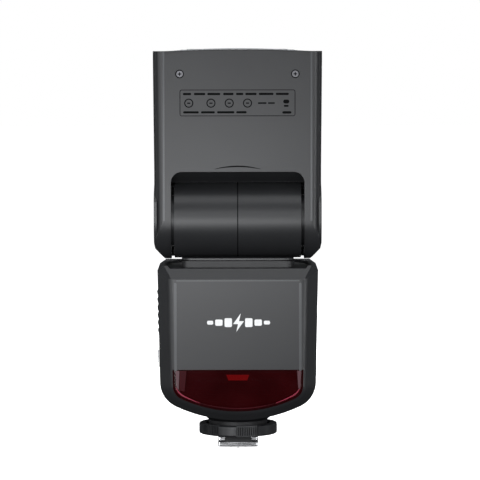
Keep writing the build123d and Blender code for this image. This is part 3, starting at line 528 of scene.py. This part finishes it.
def clear(name, colour, rough, opacity):
    """Clear moulded plastic or glass, thin enough to see through, faintly uneven."""
    material, tree, principled = shader(name)
    ripple = noise(tree, 700.0, 2.0)
    tint = tuple(0.9 * part for part in colour)
    tone = blend_colours(tree, remap(tree, ripple, 0.0, 1.0), tint, colour)
    tree.links.new(tone, principled.inputs["Base Color"])
    tree.links.new(remap(tree, ripple, *rough), principled.inputs["Roughness"])
    principled.inputs["IOR"].default_value = CLEAR_IOR
    principled.inputs["Alpha"].default_value = opacity
    add_bump(tree, principled, ripple, CLEAR_BUMP, FINE_DEPTH)
    return material


def window_plastic(name, dark, light, opacity):
    """Glossy tinted plastic over a dark cavity."""
    material, tree, principled = shader(name)
    drift = noise(tree, 70.0, 3.0)
    colour = blend_colours(tree, remap(tree, drift, 0.0, 1.0), dark, light)
    tree.links.new(colour, principled.inputs["Base Color"])
    tree.links.new(remap(tree, drift, 0.13, 0.17), principled.inputs["Roughness"])
    principled.inputs["IOR"].default_value = WINDOW_IOR
    principled.inputs["Specular IOR Level"].default_value = WINDOW_SPECULAR
    principled.inputs["Alpha"].default_value = opacity
    add_bump(tree, principled, noise(tree, 900.0, 2.0), CLEAR_BUMP, FINE_DEPTH)
    return material


def red_with_painted_glow(name, colour, strength):
    """Red plastic with a painted glow, like the lamp behind the window."""
    material, tree, principled = shader(name)
    drift = noise(tree, 300.0, 2.0)
    darker = tuple(0.8 * part for part in colour)
    tone = blend_colours(tree, remap(tree, drift, 0.0, 1.0), darker, colour)
    tree.links.new(tone, principled.inputs["Base Color"])
    tree.links.new(remap(tree, drift, 0.3, 0.4), principled.inputs["Roughness"])
    principled.inputs["Emission Color"].default_value = (*colour, 1.0)
    principled.inputs["Emission Strength"].default_value = strength
    return material


def floor_finish():
    material, tree, principled = shader("pale_floor")
    drift = noise(tree, 6.0, 2.0)
    colour = blend_colours(tree, remap(tree, drift, 0.0, 1.0), (0.9, 0.9, 0.9), (0.93, 0.93, 0.93))
    tree.links.new(colour, principled.inputs["Base Color"])
    principled.inputs["Roughness"].default_value = 0.9
    principled.inputs["Emission Color"].default_value = WHITE
    principled.inputs["Emission Strength"].default_value = 1.0
    return material


materials = {
    "case_plastic": moulded(
        "case_plastic", (0.019, 0.0194, 0.0208), (0.0215, 0.0222, 0.0238), (0.38, 0.41)
    ),
    "trim_plastic": moulded("trim_plastic", (0.01, 0.01, 0.011), (0.015, 0.015, 0.016), (0.46, 0.56)),
    "red_window": window_plastic("red_window", (0.022, 0.0002, 0.0008), (0.034, 0.0003, 0.0012), 0.7),
    # The lamp behind the window gets a faint painted glow
    "red_lamp": red_with_painted_glow("red_lamp", (0.05, 0.001, 0.001), 0.1),
    "clear_plastic": clear("clear_plastic", (0.88, 0.9, 0.92), (0.06, 0.14), 0.3),
    "white_plastic": moulded("white_plastic", (0.76, 0.76, 0.74), (0.84, 0.84, 0.82), (0.3, 0.4)),
    "display_cover": clear("display_cover", (0.02, 0.022, 0.024), (0.05, 0.08), 0.12),
    "display_module": moulded("display_module", (0.3, 0.34, 0.26), (0.36, 0.4, 0.31), (0.3, 0.4)),
    "circuit_board": moulded("circuit_board", (0.01, 0.1, 0.04), (0.02, 0.16, 0.07), (0.35, 0.5)),
    "cell_sleeve": moulded("cell_sleeve", (0.5, 0.5, 0.52), (0.6, 0.6, 0.62), (0.3, 0.4)),
    "can_metal": moulded("can_metal", (0.03, 0.035, 0.06), (0.04, 0.05, 0.08), (0.25, 0.35)),
    "spring_steel": metal("spring_steel", (0.16, 0.16, 0.17), (0.38, 0.5)),
    "foot_metal": metal("foot_metal", (0.82, 0.82, 0.83), (0.2, 0.32)),
    "axle_metal": metal("axle_metal", (0.7, 0.7, 0.72), (0.2, 0.34)),
    "contact_gold": metal("contact_gold", (0.85, 0.6, 0.25), (0.15, 0.25)),
    "reflector_metal": metal("reflector_metal", (0.9, 0.9, 0.92), (0.05, 0.12)),
    "tube_glass": clear("tube_glass", (0.85, 0.9, 0.95), (0.02, 0.05), 0.4),
    "cover_rubber": moulded("cover_rubber", (0.012, 0.012, 0.012), (0.018, 0.018, 0.018), (0.6, 0.75)),
    "button_plastic": moulded("button_plastic", (0.02, 0.02, 0.022), (0.028, 0.028, 0.03), (0.32, 0.42)),
}
WHITE_PRINT = ink("white_print", (0.93, 0.93, 0.93), (0.97, 0.97, 0.97), (0.45, 0.55))
GREY_PRINT = ink("grey_print", (0.36, 0.36, 0.37), (0.42, 0.42, 0.43), (0.5, 0.6))
# Near-black: real print on the rating label, and painted shade in the crescent groove and round the screws
DARK_PRINT_AND_SHADE = ink("dark_print_and_shade", (0.002, 0.002, 0.0022), (0.003, 0.003, 0.0033), (0.75, 0.85))
# Near-black painted shade in the drum's groove, between the wheel's ribs and over the hinge pads' steps
GAP_SHADE_PAINT = ink("seam_shadow", (0.001, 0.001, 0.001), (0.002, 0.002, 0.002), (0.85, 0.95))
# Bright red painted highlight along the window's lower edge
RIM_HIGHLIGHT_RED = ink("window_rim_highlight", (0.22, 0.002, 0.025), (0.3, 0.003, 0.035), (0.3, 0.4), RIM_BUMP)
# Dim red painted highlight, in the middle of the window's lower edge and inside its left side reflection
DIM_HIGHLIGHT_RED = ink("window_dim_highlight", (0.03, 0.001, 0.003), (0.05, 0.001, 0.004), (0.3, 0.4), RIM_BUMP)
# Paler red painted reflections at the sides of the red window
SIDE_REFLECTION_RED = ink("window_side_reflection", (0.07, 0.022, 0.03), (0.09, 0.028, 0.036), (0.3, 0.4), RIM_BUMP)
# Paler grey painted highlights along the edges of the head and the front panel
EDGE_HIGHLIGHT_PAINT = moulded("edge_highlight_paint", (0.06, 0.062, 0.066), (0.075, 0.077, 0.081), (0.34, 0.38))
# A painted glow on the lamp's face behind the window
PAINTED_LAMP_GLOW = red_with_painted_glow("painted_lamp_glow", (0.9, 0.012, 0.012), 1.1)
LCD_INK = ink("lcd_ink", (0.02, 0.025, 0.02), (0.03, 0.035, 0.03), (0.4, 0.5))
for dull_finish in (DARK_PRINT_AND_SHADE, GAP_SHADE_PAINT, DIM_HIGHLIGHT_RED):
    dull_shader = dull_finish.node_tree.nodes["Principled BSDF"]
    dull_shader.inputs["Specular IOR Level"].default_value = DULL_SPECULAR


def finish_cad_nodes():
    for entry in frame["record"]["subparts"]:
        obj = nodes[entry["node"]]
        obj.data.materials.clear()
        obj.data.materials.append(materials[entry["material_slot"]])


# --- Marks on the front -------------------------------------------------------------------------


def bolt(x, z, height):
    """A lightning bolt pictogram, as outline points."""
    half = [(0.12, 0.5), (-0.3, -0.08), (-0.03, -0.08)]
    points = half + [(-px, -pz) for px, pz in half]
    return [(x + px * height, z + pz * height) for px, pz in points]


def body_mark():
    """A plain white mark on the front panel: a bolt between bars that get shorter outwards."""
    outlines = [bolt(MARK_X, MARK_Z, MARK_BOLT_HEIGHT)]
    for side in (-1, 1):
        for offset, half in MARK_BARS:
            height = MARK_BAR_HEIGHT - MARK_BAR_SHRINK * offset
            shape = rounded_rectangle(half, height, MARK_BAR_CORNER, 4)
            outlines.append(shifted(shape, side * offset + MARK_X, MARK_Z))
    printed("body_mark", outlines, FRONT_Y, FRONTWARDS, WHITE_PRINT, "body")


def rating_label():
    """The framed block of small print under the head, as plain bars and rings."""
    outer, inner = (shifted(rounded_rectangle(*side), 0, LABEL_Z) for side in LABEL_FRAME)
    frames = [(outer, inner)]
    outlines = []
    for bars, offset, half_z in LABEL_ROWS:
        for x, half_x in bars:
            outlines.append(bar(x, LABEL_Z + offset, half_x, half_z))
    for x in LABEL_RING_X:
        frames.append([shifted(circle(radius), x, LABEL_RING_Z) for radius in LABEL_RING_R])
        outlines.append(bar(x, LABEL_RING_Z, *LABEL_RING_BAR))
    for x, offset, half_x, half_z in LABEL_SIDE_BARS:
        outlines.append(bar(x, LABEL_Z + offset, half_x, half_z))
    printed(
        "rating_label", outlines, HEAD_FRONT_Y, FRONTWARDS, DARK_PRINT_AND_SHADE, "head", frames
    )


def crescent_notch_shade():
    """Painted shade in the thin crescent groove above the lip of the pocket that the neck turns in."""
    upper = []
    lower = []
    for k in range(ARC_STEPS + 1):
        x = -CRESCENT_HALF + 2 * CRESCENT_HALF * k / ARC_STEPS
        rise = 1 - (x / CRESCENT_HALF) ** 2
        upper.append((x, CRESCENT_TOP[0] + CRESCENT_TOP[1] * rise))
        lower.append((x, CRESCENT_FOOT[0] + CRESCENT_FOOT[1] * rise))
    outline = upper + lower[::-1]
    printed("crescent_notch_shade", [outline], HEAD_FRONT_Y, FRONTWARDS, DARK_PRINT_AND_SHADE, "head")


def groove_shadow():
    """A dark ring of painted shade in the groove round the middle of the tilting drum."""
    outer = GROOVE_R * MM
    inner = outer - GROOVE_DEPTH * MM
    corners = ((-GROOVE_HALF, outer), (GROOVE_HALF, outer), (GROOVE_HALF, inner), (-GROOVE_HALF, inner))

    def build(bm):
        loops = []
        for x, radius in corners:
            ring = []
            for k in range(GROOVE_STEPS):
                angle = 2 * math.pi * k / GROOVE_STEPS
                y = DRUM_CENTRE.y + radius * math.cos(angle)
                z = DRUM_CENTRE.z + radius * math.sin(angle)
                ring.append(bm.verts.new((x * MM, y, z)))
            loops.append(ring)
        for k in range(GROOVE_STEPS):
            following = (k + 1) % GROOVE_STEPS
            for side in range(4):
                first = loops[side]
                second = loops[(side + 1) % 4]
                bm.faces.new((first[k], first[following], second[following], second[k]))

    dress(mesh_from("drum_groove_shade", build), GAP_SHADE_PAINT, "neck")


def screw_recess_shade():
    """Painted shade at the two screws in the head: a dark ring in the gap round each, and a dark cross in
    its recess.
    """
    y = low("head_screws").y
    z = centre("head_screws").z / MM
    outlines = []
    frames = []
    for x in (-SCREW_X, SCREW_X):
        frames.append([shifted(circle(radius), x, z) for radius in SCREW_RING_R])
        outlines.append(bar(x, z, *SCREW_CROSS))
        outlines.append(bar(x, z, *SCREW_CROSS[::-1]))
    printed("screw_recess_shade", outlines, y, FRONTWARDS, DARK_PRINT_AND_SHADE, "head", frames)


def wheel_groove_shade():
    """Dark strips of painted shade in the gaps between the ribs in each ribbed stretch of the lock wheel.
    """
    bottom = low("lock_wheel").z + WHEEL_EDGE * MM
    top = high("lock_wheel").z - WHEEL_EDGE * MM
    step = math.radians(WHEEL_SPAN) / WHEEL_RIBS
    inner = WHEEL_GAP_R[0] * MM
    outer = WHEEL_GAP_R[1] * MM
    profile = (
        (-WHEEL_GAP_HALF, inner),
        (-WHEEL_GAP_HALF, outer),
        (WHEEL_GAP_HALF, outer),
        (WHEEL_GAP_HALF, inner),
    )

    def build(bm):
        for stretch in WHEEL_STRETCHES:
            for gap in range(1, WHEEL_RIBS):
                middle = math.radians(stretch) + step * (gap - WHEEL_RIBS / 2)
                points = []
                for shift, radius in profile:
                    turn = middle + step * shift
                    points.append((radius * math.cos(turn), radius * math.sin(turn)))
                add_plate(bm, points, lambda x, y, level: (x, y, top if level else bottom))

    dress(mesh_from("wheel_groove_shade", build), GAP_SHADE_PAINT, "lock_wheel")


def lower_hull(points):
    """The lower half of the convex hull of sorted points, left to right."""
    hull = []
    for point in points:
        while len(hull) > 1:
            (ax, az), (bx, bz) = hull[-2], hull[-1]
            if (bx - ax) * (point[1] - az) - (bz - az) * (point[0] - ax) > 0:
                break
            hull.pop()
        hull.append(point)
    return hull


def add_rim_highlight_part(name, points, finish):
    """One stretch of the painted highlight along the window's rim, which tapers to both ends."""
    last = len(points) - 1
    upper = []
    for k, (x, z) in enumerate(points):
        width = RIM_WIDTH[0] + RIM_WIDTH[1] * math.sin(math.pi * k / last)
        upper.append((x * (1 - RIM_LEAN * width), z + width))
    front = low("af_window").y
    printed(name, [points + upper[::-1]], front, FRONTWARDS, finish, "body")


def window_rim_highlight():
    """Red strips of painted highlight that stand in for the bright line inside the red window's lower edge;
    the middle stretch is dimmer.
    """
    matrix = nodes["af_window"].matrix_world
    points = set()
    for vertex in nodes["af_window"].data.vertices:
        place = matrix @ vertex.co
        points.add((round(place.x / MM, 2), round(place.z / MM, 2)))
    start = high("af_window").z / MM - RIM_DEPTH
    inset = []
    for x, z in lower_hull(sorted(points)):
        if z < start:
            inset.append((x * RIM_INSET, z + RIM_RISE))
    left = [point for point in inset if point[0] < -RIM_CORNER_X]
    middle = [point for point in inset if abs(point[0]) < RIM_CORNER_X]
    right = [point for point in inset if point[0] > RIM_CORNER_X]
    add_rim_highlight_part("window_rim_highlight_left", left, RIM_HIGHLIGHT_RED)
    add_rim_highlight_part("window_rim_highlight_middle", middle, DIM_HIGHLIGHT_RED)
    add_rim_highlight_part("window_rim_highlight_right", right, RIM_HIGHLIGHT_RED)


def window_side_reflections():
    """Paler strips of painted reflection that stand in for the reflections at both sides of the red window,
    with a dimmer one inside the left.
    """
    front = low("af_window").y
    top = high("af_window").z / MM - SIDE_REFLECTION_TOP_GAP
    for name, x in SIDE_REFLECTION_PLACES:
        outline = shifted(SIDE_REFLECTION_OUTLINE, x, top)
        printed(name, [outline], front, FRONTWARDS, SIDE_REFLECTION_RED, "body")
    inner = shifted(SIDE_REFLECTION_INNER, 0, top)
    printed("window_side_reflection_inner", [inner], front, FRONTWARDS, DIM_HIGHLIGHT_RED, "body")


def lamp_face():
    """A plate with a painted glow that stands in for the lit face of the lamp behind the window."""
    front = low("af_lamp").y
    printed("lamp_face", [LAMP_OUTLINE], front, FRONTWARDS, PAINTED_LAMP_GLOW, "body")


def edge_highlights():
    """Thin paler strips of painted highlight that stand in for the highlights along the edges of the
    panels.
    """
    for side, name in ((-1, "left"), (1, "right")):
        x, z, half_x, half_z = HEAD_EDGE_HIGHLIGHT
        head = bar(side * x, z, half_x, half_z)
        printed(f"head_edge_highlight_{name}", [head], HEAD_FRONT_Y, FRONTWARDS, EDGE_HIGHLIGHT_PAINT, "head")
        x, z, half_x, half_z = PANEL_EDGE_HIGHLIGHT
        panel = bar(side * x, z, half_x, half_z)
        printed(f"panel_edge_highlight_{name}", [panel], FRONT_Y, FRONTWARDS, EDGE_HIGHLIGHT_PAINT, "body")
    top = bar(*PANEL_TOP_HIGHLIGHT)
    printed("panel_edge_highlight_top", [top], FRONT_Y, FRONTWARDS, EDGE_HIGHLIGHT_PAINT, "body")


def pad_shadows():
    """Dark faces over the steps of the hinge pads, inside the gap beside the drum."""
    outlines = []
    middle = DRUM_CENTRE.z / MM
    for side in (-1, 1):
        for way in (-1, 1):
            shape = rounded_rectangle(*PAD_HALF, 0.1)
            outlines.append(shifted(shape, side * PAD_X, middle + way * PAD_OFFSET))
    printed("pad_shadows", outlines, PAD_Y * MM, FRONTWARDS, GAP_SHADE_PAINT, "head")


def bezel_lip():
    """An arched front lip over the bezel, which closes the notches at the ends of its crown."""
    outline = [(LIP_HALF, LIP_FOOT), (-LIP_HALF, LIP_FOOT)]
    for k in range(ARC_STEPS + 1):
        x = -LIP_HALF + 2 * LIP_HALF * k / ARC_STEPS
        outline.append((x, LIP_CROWN - LIP_DROP * (x / LIP_HALF) ** 2))

    def build(bm):
        add_plate(bm, outline, lambda x, z, level: (x * MM, (LIP_FRONT + LIP_DEPTH * level) * MM, z * MM))

    dress(mesh_from("bezel_lip", build), materials["case_plastic"], "head")


def foot_nib():
    """The small nib under the front of the foot."""

    def build(bm):
        add_plate(
            bm, NIB_OUTLINE, lambda x, z, level: (x * MM, (NIB_FRONT + NIB_DEPTH * level) * MM, z * MM)
        )

    dress(mesh_from("foot_nib", build), materials["foot_metal"], "body")


# --- Marks on the back --------------------------------------------------------------------------

SEGMENTS = {"0": "abcdef", "1": "bc", "5": "afgcd", "6": "afgedc"}  # bars lit for each figure shown
SEGMENT_SHARE = 0.82  # of the full length, which leaves gaps at the corners


def digit(symbol, x, z, height):
    """A seven-segment figure as bars; x and z are its centre in mm."""
    half_x = 0.26 * height
    half_z = 0.5 * height
    thick = 0.055 * height
    level = {"a": half_z, "g": 0, "d": -half_z}
    upright = {"f": (-1, 0.5), "b": (1, 0.5), "e": (-1, -0.5), "c": (1, -0.5)}
    bars = []
    for letter in SEGMENTS[symbol]:
        if letter in level:
            bars.append(bar(x, z + level[letter], half_x * SEGMENT_SHARE, thick))
        else:
            across, up = upright[letter]
            bars.append(bar(x + across * half_x, z + up * half_z, thick, half_z / 2 * SEGMENT_SHARE))
    return bars


def number(text, x, z, height):
    """Figures in a row, mirrored so that they read from behind the object."""
    bars = []
    pitch = 0.78 * height
    for place, symbol in enumerate(text):
        offset = (place - (len(text) - 1) / 2) * pitch
        for outline in digit(symbol, offset, z, height):
            bars.append([(x - px, pz) for px, pz in outline])
    return bars


def display_content():
    """What the display shows: figures, a distance scale and a battery gauge."""
    outlines = []
    for text, x in DISPLAY_FIGURES:
        outlines += number(text, x, DISPLAY_FIGURES_Z, DISPLAY_FIGURES_HEIGHT)
    outlines.append(bar(*DISPLAY_DASH))
    for step in range(SCALE_STEPS):
        x = SCALE_START - SCALE_PITCH * step
        outlines.append(bar(x, SCALE_Z, SCALE_HALF_X, SCALE_HALF_Z[step % 2]))
        outlines.append(bar(x, SCALE_LABEL_Z, *SCALE_LABEL))
    for x in GAUGE_CELLS:
        outlines.append(shifted(rounded_rectangle(*GAUGE_CELL), x, GAUGE_Z))
    gauge = [shifted(rounded_rectangle(*side), GAUGE_X, GAUGE_Z) for side in GAUGE_FRAME]
    front = high("lcd_module").y
    printed("display_content", outlines, front, BACKWARDS, LCD_INK, "body", [gauge])


def key_marks():
    """Short dashes over the soft keys and plain symbols beside the buttons and the switch."""
    outlines = [bar(x, SOFT_KEY_DASH_Z, *SOFT_KEY_DASH) for x in SOFT_KEY_X]
    outlines.append(bolt(*KEY_BOLT))
    outlines += [bar(*shape) for shape in KEY_BARS]
    printed("key_marks", outlines, BACK_Y, BACKWARDS, GREY_PRINT, "body")


def dial_knurl():
    """Fine grip ribs round the select dial."""
    front = KNURL_FRONT * MM
    back = high("select_dial").y - KNURL_INSET * MM

    def build(bm):
        for k in range(KNURL_RIBS):
            points = []
            for shift, crest in KNURL_PROFILE:
                angle = 2 * math.pi * (k + shift) / KNURL_RIBS
                radius = KNURL_R[crest] * MM
                x = DIAL_CENTRE.x + radius * math.cos(angle)
                points.append((x, DIAL_CENTRE.z + radius * math.sin(angle)))
            add_plate(bm, points, lambda x, z, level: (x, back if level else front, z))

    dress(mesh_from("dial_knurl", build), materials["button_plastic"], "select_dial")


def dial_marks():
    """Arrow heads printed on the dial at four quarters."""
    outlines = []
    for quarter in range(4):
        angle = math.pi / 2 * quarter
        along = (math.cos(angle), math.sin(angle))
        across = (-along[1], along[0])
        points = []
        for out, side in ARROW_OUTLINE:
            x = out * along[0] + side * across[0] + DIAL_CENTRE.x / MM
            z = out * along[1] + side * across[1] + DIAL_CENTRE.z / MM
            points.append((x, z))
        outlines.append(points)
    front = high("select_dial").y
    printed("dial_marks", outlines, front, BACKWARDS, GREY_PRINT, "select_dial")


def door_arrow():
    """A raised arrow on the battery door that shows which way it slides."""
    side_x = low("battery_door").x

    def place(y, z, level):
        return (side_x + (DOOR_ARROW_SUNK - DOOR_ARROW_THICK * level) * MM, y * MM, z * MM)

    def build(bm):
        add_plate(bm, DOOR_ARROW_OUTLINE, place)

    dress(mesh_from("door_arrow", build), materials["trim_plastic"], "battery_door")


def lens_ridges():
    """Fine prism ridges across the front lens, which follow its dome."""
    top = high("fresnel_lens").z
    front = low("fresnel_lens").y
    back = high("fresnel_lens").y
    half = LENS_HALF * MM
    dome = LENS_DOME_R * MM

    def ridge_line(bm, y, lift):
        line = []
        for step in range(LENS_STEPS + 1):
            x = -half + 2 * half * step / LENS_STEPS
            z = top - dome + math.sqrt(dome**2 - x**2) + lift
            line.append(bm.verts.new((x, y, z)))
        return line

    def build(bm):
        for k in range(1, LENS_BANDS):
            y = front + (back - front) * k / LENS_BANDS
            rows = [ridge_line(bm, y + shift * MM, lift * MM) for shift, lift in RIDGE_PROFILE]
            for step in range(LENS_STEPS):
                for first, second in ((0, 1), (1, 2), (2, 0)):
                    near = rows[first]
                    far = rows[second]
                    bm.faces.new((near[step], near[step + 1], far[step + 1], far[step]))
            bm.faces.new((rows[0][0], rows[1][0], rows[2][0]))
            bm.faces.new((rows[2][-1], rows[1][-1], rows[0][-1]))

    dress(mesh_from("lens_ridges", build), materials["clear_plastic"], "head")


# --- Scene ------------------------------------------------------------------------------------

add_camera()
add_lights()
add_world()
add_floor(floor_finish())
bpy.context.scene.view_settings.view_transform = "Standard"

finish_cad_nodes()
body_mark()
rating_label()
crescent_notch_shade()
groove_shadow()
screw_recess_shade()
wheel_groove_shade()
window_rim_highlight()
window_side_reflections()
lamp_face()
edge_highlights()
pad_shadows()
bezel_lip()
foot_nib()
display_content()
key_marks()
dial_knurl()
dial_marks()
door_arrow()
lens_ridges()
